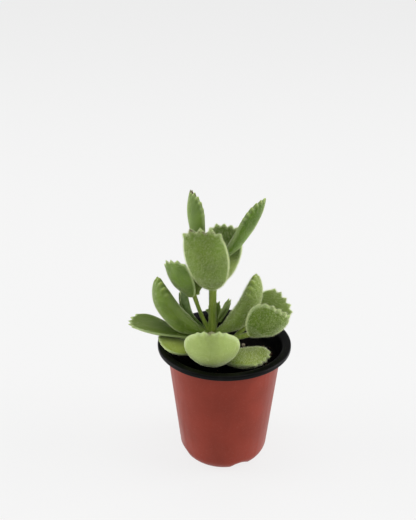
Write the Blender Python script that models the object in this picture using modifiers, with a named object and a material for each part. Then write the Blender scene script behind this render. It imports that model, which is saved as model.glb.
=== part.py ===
"""Bear's paw succulent in its thin plastic nursery pot, modelled in metres with +Z up.

The origin is the middle of the pot's underside, and the front of the plant faces -Y.
"""

import math
from dataclasses import dataclass

import bmesh
import bpy
from mathutils import Matrix, Vector, noise

MM = 0.001

# Pot, in millimetres
POT_HEIGHT = 88.0
RIM_RADIUS = 45.0
MOUTH_RADIUS = 40.7
BODY_TOP_RADIUS = 39.6
BODY_FOOT_RADIUS = 29.4
CORNER_RADIUS = 11.0
WALL = 0.8
LIP_HEIGHT = 3.0
LIP_WALL = 1.1
LIP_ROUND = 1.2
MOUTH_SLOPE = 2.4
STEP_DROP = 7.0
STEP_DEPTH = 0.35
POT_SIDES = 60
CORNER_STEPS = 5

# Drain channels pressed up into the underside
CHANNEL_BEARINGS = (-65.0, 25.0, 115.0, 205.0)
CHANNEL_DEPTH = 2.7
CHANNEL_HALF_WIDTH = 6.5
CHANNEL_INNER_END = 13.0
CHANNEL_SLOPE = 5.0
DRAIN_RADIUS = 3.2
DRAIN_DISTANCE = 20.0
DRAIN_SIDES = 20

# Soil
SOIL_LEVEL = 74.0
SOIL_GAP = 0.4
SOIL_RISE = 1.6
SOIL_GRAIN = 0.72
SOIL_LUMP_SCALE = 0.07
SOIL_GRAIN_SCALE = 0.5
SOIL_SIDES = 48
SOIL_RINGS = 8

# Stem and its side shoots
STEM_FOOT = 56.0
STEM_FOOT_RADIUS = 3.1
STEM_HOLE_GAP = 0.4
STEM_HOLE_SIDES = 16
PATH_STEPS = 3

# Leaves
LEAF_SIDES = 40
LEAF_RINGS = 8
SMALL_LEAF_LENGTH = 20.0
SMALL_LEAF_SIDES = 24
SMALL_LEAF_RINGS = 6
LEAF_MIDDLE = 0.58
STALK_END = 0.02
THICK_FROM = 0.35
TOOTH_REACH = 6
TOOTH_POINT = 1.2
SIDE_TOOTH_LOSS = 0.3
NEARLY_ONE = 0.9999


@dataclass
class Leaf:
    """One leaf, in millimetres and degrees; its upper face is the one towards the stem's tip."""
    name: str
    foot: tuple
    heading: float
    rise: float
    length: float
    half_width: float
    bend: float = 0.0
    twist: float = 0.0
    cup: float = 0.2
    under: float = 5.5
    upper: float = 3.5
    blunt: float = 0.45
    taper: float = 1.1
    stalk_width: float = 2.2
    stalk_depth: float = 1.6
    teeth: int = 5
    tooth: float = 2.2
    sway: float = 0.0


LEAVES = [
    Leaf("leaf_top_left", (-10.6, 1.4, 146.0), 186, 67, 47, 11.5, bend=22, twist=16, cup=0.3, teeth=7,
         under=4.5, upper=3.0),
    Leaf("leaf_top_right", (-5.3, 0.0, 146.0), -12, 48, 52, 11.0, bend=18, twist=-14, cup=0.3, teeth=7,
         under=4.5, upper=3.0),
    Leaf("leaf_top_front", (-8.5, -3.2, 129.0), -99.5, 58.5, 44.3, 13.6, bend=35, cup=0.25, teeth=6,
         blunt=0.24, taper=0.42, sway=-3.8, twist=4),
    Leaf("leaf_top_back", (-6.4, 2.8, 129.0), 66, 58, 38.0, 13.5, bend=20, teeth=6, blunt=0.3, taper=0.5,
         sway=-2.0),
    Leaf("leaf_mid_left", (-22.1, 0.5, 121.5), -166, 56, 26.5, 12.3, bend=20, under=3.5, upper=2.5,
         blunt=0.3, taper=0.5, sway=-1, twist=34),
    Leaf("leaf_mid_right", (-18.9, 2.2, 122.0), 78, 76, 15, 6.5, bend=-14, under=3.5, upper=2.2),
    Leaf("leaf_left", (-11.35, -0.9, 95.0), 191, 18, 51.5, 12.0, bend=68, twist=30, cup=0.0, under=8.2, upper=5.8,
         taper=0.9),
    Leaf("leaf_right", (-5.1, -0.4, 95.0), -8, 27, 48.5, 10.5, bend=66, twist=-28, cup=0.0, under=7.0, upper=6.0,
         taper=0.9),
    Leaf("leaf_front", (-7.8, -3.2, 86.0), -90, -9, 51.5, 17.8, bend=98, cup=0.62, under=7.2, upper=3.6,
         blunt=0.42, taper=0.55, tooth=1.4),
    Leaf("leaf_back", (-9.8, 3.1, 91.0), 159, 22, 38, 5.6, bend=66, under=2.6, upper=2.0, taper=2.1),
    Leaf("leaf_low_left", (-11.0, -1.0, 87.3), 178, 18.0, 53.5, 11.3, bend=-6, taper=1.8, stalk_width=1.9,
         under=2.8, upper=2.8),
    Leaf("leaf_foot_left", (-9.85, -1.8, 81.8), 196, 12, 36.0, 13.4, bend=14, taper=1.4, tooth=1.0,
         under=3.4, upper=2.0, cup=0.05, twist=0),
    Leaf("leaf_foot_right", (-4.7, -2.4, 79.5), -32, 6, 36.5, 13.5, bend=8, taper=0.9, blunt=0.35,
         under=4.5),
    Leaf("leaf_side_front", (18.0, -8.3, 97.4), -14, 46, 27.0, 16.0, sway=-3, bend=-4, twist=-56, taper=0.6,
         blunt=0.32, upper=3.0),
    Leaf("leaf_side_back", (16.5, 4.0, 97.2), 21, 31, 29.5, 12.6, bend=-4, twist=50, taper=0.7, blunt=0.35,
         upper=3.0),
    Leaf("leaf_shoot_right", (-3.7, 9.8, 98.0), 10, 62, 15.5, 4.5, under=2.0, upper=1.4, teeth=3),
    Leaf("leaf_shoot_front", (-6.7, 7.1, 98.85), -60, 86, 14, 4.0, under=2.0, upper=1.4, teeth=3),
    Leaf("leaf_shoot_back", (-6.3, 10.9, 96.6), 96, 46, 10.0, 5.0, under=2.2, upper=1.5, teeth=5),
    Leaf("leaf_bud_front", (-7.8, -1.9, 149.0), -90, 70, 10, 3.4, bend=20, under=1.4, upper=0.9, teeth=3,
         tooth=0.8, stalk_width=1.3, stalk_depth=0.9),
    Leaf("leaf_bud_back", (-7.8, 1.9, 149.0), 90, 70, 10, 3.4, bend=20, under=1.4, upper=0.9, teeth=3,
         tooth=0.8, stalk_width=1.3, stalk_depth=0.9),
]

SIDE_SHOOTS = {
    "mid": [(-8.2, -0.6, 94.0, 1.7), (-12.3, -0.8, 100.0, 1.5), (-17.0, 0.0, 112.0, 1.4),
            (-20.3, 0.8, 122.0, 1.6)],
    "side": [(-7.0, 0.0, 83.0, 2.0), (1.0, -1.5, 86.5, 1.8), (8.0, -2.6, 91.5, 1.7),
             (17.4, -7.7, 97.5, 1.8)],
    "side_back": [(5.0, -2.0, 89.5, 1.5), (10.0, 0.0, 94.0, 1.5), (15.6, 3.3, 97.8, 1.6)],
    "back": [(-7.9, 1.0, 92.0, 1.4), (-6.6, 6.0, 94.5, 1.3), (-5.2, 9.5, 98.0, 1.6)],
}

MAIN_STEM = [(-6.0, 0.0, STEM_FOOT, STEM_FOOT_RADIUS), (-6.6, 0.0, 74.0, 3.0), (-7.8, 0.0, 86.0, 2.8),
             (-8.1, 0.0, 96.0, 2.7), (-8.0, 0.0, 112.0, 2.5), (-7.8, 0.0, 128.0, 2.5),
             (-7.8, 0.0, 145.0, 2.2), (-7.8, 0.0, 149.0, 1.4)]


def clear_scene():
    for item in list(bpy.data.objects):
        bpy.data.objects.remove(item, do_unlink=True)


def make_collection(name, hidden=False):
    collection = bpy.data.collections.new(name)
    collection.hide_render = hidden
    bpy.context.scene.collection.children.link(collection)
    return collection


def make_material(name, colour, roughness):
    material = bpy.data.materials.new(name)
    material.use_nodes = True
    shader = material.node_tree.nodes["Principled BSDF"]
    shader.inputs["Base Color"].default_value = (*colour, 1.0)
    shader.inputs["Roughness"].default_value = roughness
    shader.inputs["Metallic"].default_value = 0.0
    return material


def add_object(name, mesh, collection, *materials):
    part = bpy.data.objects.new(name, mesh)
    collection.objects.link(part)
    for material in materials:
        mesh.materials.append(material)
    return part


def baked_mesh(part):
    """A copy of an object's evaluated mesh, with doubles welded."""
    bpy.context.view_layer.update()
    graph = bpy.context.evaluated_depsgraph_get()
    mesh = bpy.data.meshes.new_from_object(part.evaluated_get(graph))
    weld(mesh)
    return mesh


def weld(mesh):
    shape = bmesh.new()
    shape.from_mesh(mesh)
    bmesh.ops.remove_doubles(shape, verts=shape.verts, dist=0.00002)
    shape.to_mesh(mesh)
    shape.free()


def turned(name, profile, sides, collection):
    """Turn a profile of (radius, height) points in millimetres round the Z axis."""
    mesh = bpy.data.meshes.new(name)
    points = [(radius * MM, 0.0, height * MM) for radius, height in profile]
    edges = [(index, index + 1) for index in range(len(points) - 1)]
    mesh.from_pydata(points, edges, [])
    part = add_object(name, mesh, collection)
    screw = part.modifiers.new("Turn", "SCREW")
    screw.steps = sides
    screw.render_steps = sides
    screw.use_merge_vertices = True
    screw.merge_threshold = 0.00002
    solid = baked_mesh(part)
    bpy.data.objects.remove(part, do_unlink=True)
    return solid


def channel_lift(x, y):
    """How far, from 0 to 1, a point of the underside is pressed up by a drain channel."""
    lift = 0.0
    for bearing in CHANNEL_BEARINGS:
        angle = math.radians(bearing - 90.0)
        along = x * math.cos(angle) + y * math.sin(angle)
        across = abs(y * math.cos(angle) - x * math.sin(angle))
        start = min(max((along - CHANNEL_INNER_END) / CHANNEL_SLOPE, 0.0), 1.0)
        side = max(1.0 - (across / CHANNEL_HALF_WIDTH) ** 2, 0.0)
        lift = max(lift, side * start * start * (3.0 - 2.0 * start))
    return lift


def wall_radius(height):
    """The body's outer radius at a height, without the rounded corner at its foot."""
    return BODY_FOOT_RADIUS + (BODY_TOP_RADIUS - BODY_FOOT_RADIUS) * height / POT_HEIGHT


def pot_profile():
    slope = math.atan((BODY_TOP_RADIUS - BODY_FOOT_RADIUS) / POT_HEIGHT)
    turn = math.pi / 2 - slope
    centre_height = CORNER_RADIUS
    centre_radius = wall_radius(centre_height) - CORNER_RADIUS / math.cos(slope)

    def corner(radius):
        for step in range(CORNER_STEPS + 1):
            angle = -math.pi / 2 + turn * step / CORNER_STEPS
            yield (centre_radius + radius * math.cos(angle), centre_height + radius * math.sin(angle))

    floor_rings = (0.0, CHANNEL_INNER_END / 2, CHANNEL_INNER_END, DRAIN_DISTANCE - CHANNEL_SLOPE + 1.0)
    step_height = POT_HEIGHT - STEP_DROP
    inside = [(radius, WALL) for radius in floor_rings]
    inside += list(corner(CORNER_RADIUS - WALL))
    inside += [(wall_radius(step_height) - WALL - STEP_DEPTH, step_height),
               (wall_radius(step_height) - WALL, step_height + 1.0),
               (MOUTH_RADIUS - MOUTH_SLOPE, POT_HEIGHT - 2.0), (MOUTH_RADIUS - 0.9, POT_HEIGHT - 0.5)]
    round_in = LIP_ROUND * (1.0 - math.sqrt(0.5))
    lip = [(MOUTH_RADIUS, POT_HEIGHT), (RIM_RADIUS - LIP_ROUND, POT_HEIGHT),
           (RIM_RADIUS - round_in, POT_HEIGHT - round_in),
           (RIM_RADIUS, POT_HEIGHT - LIP_ROUND), (RIM_RADIUS, POT_HEIGHT - LIP_HEIGHT),
           (RIM_RADIUS - LIP_WALL, POT_HEIGHT - LIP_HEIGHT),
           (RIM_RADIUS - LIP_WALL, POT_HEIGHT - LIP_WALL - 0.4),
           (MOUTH_RADIUS + 0.2, POT_HEIGHT - LIP_WALL - 0.2), (MOUTH_RADIUS - 0.9, POT_HEIGHT - 2.6)]
    outside = [(wall_radius(step_height), step_height + 1.0),
               (wall_radius(step_height) - STEP_DEPTH, step_height)]
    outside += list(corner(CORNER_RADIUS))[::-1]
    outside += [(radius, 0.0) for radius in floor_rings[::-1]]
    return inside + lip + outside


def make_pot(collection, cutters, shell, rim):
    mesh = turned("pot", pot_profile(), POT_SIDES, collection)
    for vertex in mesh.vertices:
        x, y, z = (value / MM for value in vertex.co)
        fade = max(1.0 - z / CORNER_RADIUS, 0.0)
        vertex.co.z += CHANNEL_DEPTH * channel_lift(x, y) * fade * MM
    pot = add_object("pot", mesh, collection, shell, rim)
    for number, bearing in enumerate(CHANNEL_BEARINGS):
        angle = math.radians(bearing - 90.0)
        place = Matrix.Translation((DRAIN_DISTANCE * MM * math.cos(angle),
                                    DRAIN_DISTANCE * MM * math.sin(angle), 0.0))
        cut(pot, drill(f"drain_{number}", cutters, place, DRAIN_RADIUS, CORNER_RADIUS, DRAIN_SIDES))
    pot.data = baked_mesh(pot)
    pot.modifiers.clear()
    for face in pot.data.polygons:
        centre = face.center / MM
        radius = math.hypot(centre.x, centre.y)
        outer = face.normal.z * centre.z <= 0.0 or centre.z > 1.0
        facing_out = face.normal.x * centre.x + face.normal.y * centre.y > 0.0 or face.normal.z < -0.5
        is_rim = radius > BODY_TOP_RADIUS or centre.z > POT_HEIGHT - LIP_HEIGHT
        face.material_index = 0 if outer and facing_out and not is_rim else 1
    smooth(pot, 35)
    return pot


def drill(name, cutters, place, radius, depth, sides):
    shape = bmesh.new()
    bmesh.ops.create_cone(shape, cap_ends=True, segments=sides, radius1=radius * MM, radius2=radius * MM,
                          depth=depth * MM, matrix=place)
    mesh = bpy.data.meshes.new(name)
    shape.to_mesh(mesh)
    shape.free()
    cutter = add_object(name, mesh, cutters)
    cutter.hide_render = True
    cutter.display_type = "WIRE"
    return cutter


def cut(part, cutter, operation="DIFFERENCE"):
    boolean = part.modifiers.new(cutter.name, "BOOLEAN")
    boolean.operation = operation
    boolean.solver = "EXACT"
    boolean.object = cutter


def smooth(part, angle):
    part.data.shade_smooth()
    part.data.set_sharp_from_angle(angle=math.radians(angle))


def make_soil(collection, cutters, material):
    floor = WALL + CHANNEL_DEPTH + SOIL_GAP
    foot_radius = wall_radius(CORNER_RADIUS) - CORNER_RADIUS + 1.5
    side_low = wall_radius(CORNER_RADIUS) - WALL - SOIL_GAP - 0.4
    side_high = wall_radius(SOIL_LEVEL) - WALL - SOIL_GAP - 0.2
    profile = [(0.0, SOIL_LEVEL)]
    profile += [(side_high * ring / SOIL_RINGS, SOIL_LEVEL) for ring in range(1, SOIL_RINGS + 1)]
    profile += [(side_low, CORNER_RADIUS + 1.0), (foot_radius, floor), (0.0, floor)]
    mesh = turned("soil", profile, SOIL_SIDES, collection)
    for vertex in mesh.vertices:
        if vertex.co.z > (SOIL_LEVEL - 1.0) * MM:
            spot = vertex.co / MM
            flat = Vector((spot.x, spot.y, 0.0))
            lump = noise.noise(flat * SOIL_LUMP_SCALE + Vector((0.0, 0.0, 3.0)))
            grain = noise.noise(flat * SOIL_GRAIN_SCALE + Vector((0.0, 0.0, 9.0)))
            vertex.co.z += (SOIL_RISE * lump + SOIL_GRAIN * grain) * MM
    soil = add_object("soil", mesh, collection, material)
    x, y, foot, radius = MAIN_STEM[0]
    height = SOIL_LEVEL + 8.0 - foot + STEM_HOLE_GAP
    place = Matrix.Translation((x * MM, y * MM, (foot - STEM_HOLE_GAP + height / 2) * MM))
    cut(soil, drill("stem_hole", cutters, place, radius + 2 * STEM_HOLE_GAP, height, STEM_HOLE_SIDES))
    soil.data = baked_mesh(soil)
    soil.modifiers.clear()
    smooth(soil, 40)
    return soil


def tube(name, points, collection, sides_level=2):
    """A tube through (x, y, z, radius) points with filled caps, as a mesh object."""
    curve = bpy.data.curves.new(name, "CURVE")
    curve.dimensions = "3D"
    curve.bevel_depth = MM
    curve.bevel_resolution = sides_level
    curve.use_fill_caps = True
    spline = curve.splines.new("POLY")
    spline.points.add(len(points) - 1)
    for point, (x, y, z, radius) in zip(spline.points, points):
        point.co = (x * MM, y * MM, z * MM, 1.0)
        point.radius = radius
    wire = bpy.data.objects.new(name, curve)
    collection.objects.link(wire)
    mesh = baked_mesh(wire)
    bpy.data.objects.remove(wire, do_unlink=True)
    return add_object(name, mesh, collection)


def rounded(points, steps=PATH_STEPS):
    """More points on a smooth curve through the given (x, y, z, radius) points."""
    ends = [points[0]] + list(points) + [points[-1]]
    path = []
    for index in range(len(points) - 1):
        before, start, end, after = ends[index:index + 4]
        for step in range(steps):
            t = step / steps
            path.append(tuple(0.5 * (2 * b + (c - a) * t + (2 * a - 5 * b + 4 * c - d) * t ** 2
                                     + (3 * b - a - 3 * c + d) * t ** 3)
                              for a, b, c, d in zip(before, start, end, after)))
    path.append(points[-1])
    return path


def make_stem(collection, cutters, material):
    stem = tube("stem", rounded(MAIN_STEM), collection)
    for name, points in SIDE_SHOOTS.items():
        shoot = tube("shoot_" + name, rounded(points), cutters)
        shoot.hide_render = True
        shoot.display_type = "WIRE"
        cut(stem, shoot, "UNION")
    stem.data = baked_mesh(stem)
    stem.modifiers.clear()
    stem.data.materials.clear()
    stem.data.materials.append(material)
    smooth(stem, 60)
    return stem


def leaf_grid(leaf):
    """How many faces go round a leaf's margin and how many from face to face."""
    if leaf.length > SMALL_LEAF_LENGTH:
        return LEAF_SIDES, LEAF_RINGS
    return SMALL_LEAF_SIDES, SMALL_LEAF_RINGS


def leaf_outline(leaf, along):
    """Half the blade's width, in millimetres, at a fraction of its length from foot to tip."""
    peak = leaf.taper / (leaf.blunt + leaf.taper)
    most = (1.0 - peak) ** leaf.blunt * peak ** leaf.taper
    blade = leaf.half_width * (1.0 - along) ** leaf.blunt * along ** leaf.taper / most
    stalk = leaf.stalk_width * math.sqrt(min(along / STALK_END, 1.0) * (1.0 - along))
    return (blade ** 3 + stalk ** 3) ** (1 / 3)


def leaf_tooth(leaf, turn):
    """The margin's tooth, from 0 in a notch to 1 on a point, at a turn in steps from the tip."""
    if abs(turn) >= leaf.teeth:
        return 0.0
    point = 1.0 - abs((turn + leaf.teeth) % 2.0 - 1.0)
    return point ** TOOTH_POINT * (1.0 - SIDE_TOOTH_LOSS * (turn / leaf.teeth) ** 2)


def leaf_thickness(leaf, along, full):
    """Half thickness of one side on the midline, thin at the toothed end and stalk."""
    body = full * (1.0 - along ** 5) ** 0.6 * min(along / THICK_FROM, 1.0) ** 0.8
    stalk = leaf.stalk_depth * math.sqrt(min(along / STALK_END, 1.0)) * (1.0 - along)
    return (body ** 3 + stalk ** 3) ** (1 / 3)


def leaf_point(leaf, unit):
    """Map a point of a unit sphere, with its poles on the two faces, onto the leaf."""
    angle = math.atan2(unit.y, unit.x)
    reach = min(math.hypot(unit.x, unit.y), 1.0)
    margin_along = math.cos(angle / 2.0) ** 2
    margin_side = math.copysign(leaf_outline(leaf, margin_along), angle)
    if abs(math.sin(angle)) < 1e-6:
        margin_side = 0.0
    along = LEAF_MIDDLE + (margin_along - LEAF_MIDDLE) * reach
    side = margin_side * reach
    half = LEAF_MIDDLE if along < LEAF_MIDDLE else 1.0 - LEAF_MIDDLE
    spine = min(abs(along - LEAF_MIDDLE) / half, NEARLY_ONE)
    crown = math.sqrt(max(1.0 - reach * reach, 0.0)) / math.sqrt(1.0 - spine * spine)
    full = leaf.upper if unit.z > 0 else leaf.under
    lift = math.copysign(leaf_thickness(leaf, along, full) * min(crown, 1.0), unit.z)
    if reach > NEARLY_ONE:
        lift = 0.0
    step = 2.0 * math.pi / leaf_grid(leaf)[0]
    tooth = leaf.tooth * leaf_tooth(leaf, angle / step) * reach ** TOOTH_REACH
    outward = Vector((leaf.length * (margin_along - LEAF_MIDDLE), margin_side)).normalized()
    x = leaf.length * along + tooth * outward.x
    y = side + tooth * outward.y
    z = lift + leaf.cup * leaf.half_width * (side / leaf.half_width) ** 2 * along
    return bend_point(leaf, x, y, z)


def bend_point(leaf, x, y, z):
    """Bend the leaf's length into an arc towards its upper face, and sway it sideways."""
    y += leaf.sway * (x / leaf.length) ** 2
    curve = math.radians(leaf.bend) / leaf.length
    if abs(curve) < 1e-6:
        return Vector((x, y, z))
    radius = 1.0 / curve
    angle = x * curve
    return Vector(((radius - z) * math.sin(angle), y, radius - (radius - z) * math.cos(angle)))


def leaf_frame(leaf):
    heading = Matrix.Rotation(math.radians(leaf.heading), 4, "Z")
    rise = Matrix.Rotation(math.radians(-leaf.rise), 4, "Y")
    twist = Matrix.Rotation(math.radians(leaf.twist), 4, "X")
    return Matrix.Translation(Vector(leaf.foot)) @ heading @ rise @ twist


def make_leaf(leaf, collection, material):
    shape = bmesh.new()
    sides, rings = leaf_grid(leaf)
    bmesh.ops.create_uvsphere(shape, u_segments=sides, v_segments=rings, radius=1.0)
    frame = leaf_frame(leaf)
    for vertex in shape.verts:
        vertex.co = (frame @ leaf_point(leaf, vertex.co)) * MM
    bmesh.ops.triangulate(shape, faces=shape.faces)
    bmesh.ops.recalc_face_normals(shape, faces=shape.faces)
    mesh = bpy.data.meshes.new(leaf.name)
    shape.to_mesh(mesh)
    shape.free()
    part = add_object(leaf.name, mesh, collection, material)
    smooth(part, 50)
    return part


def main():
    clear_scene()
    plant = make_collection("bears_paw_succulent")
    cutters = make_collection("cutters", hidden=True)
    terracotta = make_material("terracotta plastic", (0.30, 0.065, 0.045), 0.4)
    black = make_material("black plastic", (0.012, 0.012, 0.013), 0.4)
    earth = make_material("potting soil", (0.012, 0.010, 0.009), 0.95)
    green_stem = make_material("stem", (0.13, 0.22, 0.06), 0.6)
    green_leaf = make_material("leaf", (0.15, 0.26, 0.07), 0.65)
    make_pot(plant, cutters, terracotta, black)
    make_soil(plant, cutters, earth)
    make_stem(plant, cutters, green_stem)
    for leaf in LEAVES:
        make_leaf(leaf, plant, green_leaf)
    for item in cutters.objects:
        item.hide_set(True)


main()
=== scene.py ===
import math

import bmesh
import bpy
import numpy as np
from mathutils import Matrix, Vector, noise


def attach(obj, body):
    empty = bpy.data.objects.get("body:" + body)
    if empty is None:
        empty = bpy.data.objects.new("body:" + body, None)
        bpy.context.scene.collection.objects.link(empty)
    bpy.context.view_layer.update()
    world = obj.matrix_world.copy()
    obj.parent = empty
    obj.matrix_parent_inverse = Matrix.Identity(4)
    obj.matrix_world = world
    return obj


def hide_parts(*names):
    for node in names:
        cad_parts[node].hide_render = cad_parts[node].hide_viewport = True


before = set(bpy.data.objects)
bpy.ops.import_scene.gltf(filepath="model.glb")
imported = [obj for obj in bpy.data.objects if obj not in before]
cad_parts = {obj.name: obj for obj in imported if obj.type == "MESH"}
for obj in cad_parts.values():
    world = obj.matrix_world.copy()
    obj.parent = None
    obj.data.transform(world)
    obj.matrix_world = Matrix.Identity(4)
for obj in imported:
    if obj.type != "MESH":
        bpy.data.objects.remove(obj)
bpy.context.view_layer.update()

mm = 0.001
print("frame loaded, nodes:", len(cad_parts))


# Small helpers for nodes, meshes and pieces

def startMaterial(name, sockets):
    material = bpy.data.materials.new(name)
    material.use_nodes = True
    shader = material.node_tree.nodes["Principled BSDF"]
    for socket, value in sockets.items():
        shader.inputs[socket].default_value = value
    return material, material.node_tree, shader


def addNode(tree, kind, inputs=None, **settings):
    node = tree.nodes.new("ShaderNode" + kind)
    for setting, value in settings.items():
        setattr(node, setting, value)
    for socket, value in (inputs or {}).items():
        if isinstance(value, bpy.types.NodeSocket):
            tree.links.new(value, node.inputs[socket])
        else:
            node.inputs[socket].default_value = value
    return node


def mixColours(tree, amount, first, second):
    node = tree.nodes.new("ShaderNodeMix")
    node.data_type = "RGBA"
    for socket, value in ((0, amount), (6, first), (7, second)):
        if isinstance(value, bpy.types.NodeSocket):
            tree.links.new(value, node.inputs[socket])
        elif socket == 0:
            node.inputs[0].default_value = value
        else:
            node.inputs[socket].default_value = (*value, 1.0)
    return node.outputs[2]


def spread(tree, value, low, high, bottom=0.0, top=1.0):  # a smooth step between two values
    node = addNode(tree, "MapRange", {0: value, 1: low, 2: high, 3: bottom, 4: top},
                   interpolation_type="SMOOTHSTEP")
    return node.outputs[0]


def times(tree, first, second):
    return addNode(tree, "Math", {0: first, 1: second}, operation="MULTIPLY").outputs[0]


def plus(tree, first, second):
    return addNode(tree, "Math", {0: first, 1: second}, operation="ADD").outputs[0]


def stretched(tree, place, scale):  # draws a pattern out into streaks
    return addNode(tree, "Mapping", {"Vector": place, "Scale": scale}).outputs[0]


def speckle(tree, place, scale, detail=2.0, roughness=0.5):
    return addNode(tree, "TexNoise", {"Vector": place, "Scale": scale, "Detail": detail,
                                      "Roughness": roughness}).outputs["Fac"]


def pattern(tree, place, scale, detail, roughness, low, high, bottom=0.0, top=1.0):  # speckle, stepped smoothly
    return spread(tree, speckle(tree, place, scale, detail, roughness), low, high, bottom, top)


def addBump(tree, shader, height, distance, strength):
    bump = addNode(tree, "Bump", {"Height": height, "Distance": distance, "Strength": strength})
    tree.links.new(bump.outputs[0], shader.inputs["Normal"])


def objectPlace(tree):
    return addNode(tree, "TexCoord").outputs["Object"]


def easeIn(value, start, run):  # 0 up to the start, 1 after the run, smooth between
    share = min(max((value - start) / run, 0.0), 1.0)
    return share * share * (3.0 - 2.0 * share)


def finishPiece(name, mesh, node, materials, smoothAngle):  # angle in degrees, 0 for smooth all over
    for material in materials:
        mesh.materials.append(material)
    mesh.shade_smooth()
    if smoothAngle:
        mesh.set_sharp_from_angle(angle=math.radians(smoothAngle))
    piece = bpy.data.objects.new(name, mesh)
    bpy.context.scene.collection.objects.link(piece)
    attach(piece, "root")
    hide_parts(node)
    return piece


def meshOf(shape, name):
    mesh = bpy.data.meshes.new(name)
    shape.to_mesh(mesh)
    shape.free()
    return mesh


def fixOrder(shape):  # Blender may list the faces of a spun shape in another order each run
    count = len(shape.verts)
    shape.verts.index_update()
    shape.faces.sort(key=lambda face: face.verts[0].index * count + face.verts[1].index)


def applyModifiers(mesh, addModifiers):  # runs modifiers on a mesh and gives the result
    holder = bpy.data.objects.new("holder", mesh)
    bpy.context.scene.collection.objects.link(holder)
    addModifiers(holder)
    bpy.context.view_layer.update()
    graph = bpy.context.evaluated_depsgraph_get()
    result = bpy.data.meshes.new_from_object(holder.evaluated_get(graph))
    bpy.data.objects.remove(holder, do_unlink=True)
    return result


def meshArrays(mesh):
    mesh.calc_loop_triangles()
    points = np.empty(len(mesh.vertices) * 3, np.float32)
    normals = np.empty(len(mesh.vertices) * 3, np.float32)
    corners = np.empty(len(mesh.loop_triangles) * 3, np.int32)
    mesh.vertices.foreach_get("co", points)
    mesh.vertices.foreach_get("normal", normals)
    mesh.loop_triangles.foreach_get("vertices", corners)
    return points.reshape(-1, 3), normals.reshape(-1, 3), corners.reshape(-1, 3)


def tileShape(name, shape, turns, places):  # one small shape repeated at many places, as one mesh
    bmesh.ops.triangulate(shape, faces=shape.faces)
    points, _, corners = meshArrays(meshOf(shape, "tile"))
    count = len(places)
    moved = np.einsum("kij,vj->kvi", turns, points) + places[:, None, :]
    faces = corners[None] + (np.arange(count) * len(points))[:, None, None]
    mesh = bpy.data.meshes.new(name)
    mesh.vertices.add(count * len(points))
    mesh.vertices.foreach_set("co", moved.astype(np.float32).ravel())
    mesh.loops.add(faces.size)
    mesh.loops.foreach_set("vertex_index", faces.astype(np.int32).ravel())
    mesh.polygons.add(count * len(corners))
    mesh.polygons.foreach_set("loop_start", np.arange(0, faces.size, 3, dtype=np.int32))
    mesh.update(calc_edges=True)
    mesh.validate()
    return mesh


def leanTurns(directions, spins, widths, lengths):  # matrices that stand a shape along given directions
    axis = directions / np.linalg.norm(directions, axis=1, keepdims=True)
    helper = np.where(np.abs(axis[:, 2:3]) < 0.9, np.array([[0.0, 0.0, 1.0]]), np.array([[1.0, 0.0, 0.0]]))
    first = np.cross(helper, axis)
    first /= np.linalg.norm(first, axis=1, keepdims=True)
    second = np.cross(axis, first)
    across = first * np.cos(spins)[:, None] + second * np.sin(spins)[:, None]
    beside = np.cross(axis, across)
    return np.stack([across * widths[:, None], beside * widths[:, None], axis * lengths[:, None]], axis=2)


# Camera, floor and light

view = {"place": (0.0, -0.4309, 0.3416), "tilt": 65.75, "turn": 1.46, "lens": 50.88, "filmWidth": 36.0,
        "nearest": 0.01, "farthest": 50.0}

studio = {
    "floorSize": 14.0, "floorSides": 64, "floorGlow": 0.80,
    "floorColour": (0.12, 0.12, 0.119), "floorShade": 0.99, "floorCloud": 3.0,
    "skyColour": (1.0, 1.0, 1.0), "skyLight": 0.28,
    "boxes": [  # name, place, looks at, width, height, watts
        ("leftBox", (-2.2, 0.0, 0.81), (0.0, 0.0, 0.09), 1.4, 2.3, 37.5),
        ("rightBox", (2.2, 0.0, 0.81), (0.0, 0.0, 0.09), 1.4, 2.3, 45.5),
        ("topBox", (0.0, 0.2, 1.1), (0.0, 0.0, 0.1), 0.9, 0.7, 3.5),
        ("frontBox", (0.1, -1.0, 0.9), (0.0, 0.0, 0.1), 0.8, 0.5, 1.0),
    ],
}


def makeCamera():
    data = bpy.data.cameras.new("camera")
    data.lens = view["lens"]
    data.sensor_width = view["filmWidth"]
    data.clip_start, data.clip_end = view["nearest"], view["farthest"]
    camera = bpy.data.objects.new("camera", data)
    camera.location = view["place"]
    camera.rotation_euler = (math.radians(view["tilt"]), 0.0, math.radians(view["turn"]))
    bpy.context.scene.collection.objects.link(camera)
    bpy.context.scene.camera = camera


def makeFloor():
    shape = bmesh.new()
    bmesh.ops.create_circle(shape, cap_ends=True, segments=studio["floorSides"],
                            radius=studio["floorSize"] / 2)
    mesh = meshOf(shape, "floor")
    material, tree, shader = startMaterial("paleFloor", {"Roughness": 0.9, "Specular IOR Level": 0.1})
    tone = speckle(tree, objectPlace(tree), studio["floorCloud"])
    shade = tuple(part * studio["floorShade"] for part in studio["floorColour"])
    colour = mixColours(tree, tone, studio["floorColour"], shade)
    tree.links.new(colour, shader.inputs["Base Color"])
    shader.inputs["Emission Color"].default_value = (1.0, 1.0, 1.0, 1.0)
    shader.inputs["Emission Strength"].default_value = studio["floorGlow"]
    mesh.materials.append(material)
    floor = bpy.data.objects.new("floor", mesh)
    bpy.context.scene.collection.objects.link(floor)


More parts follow.
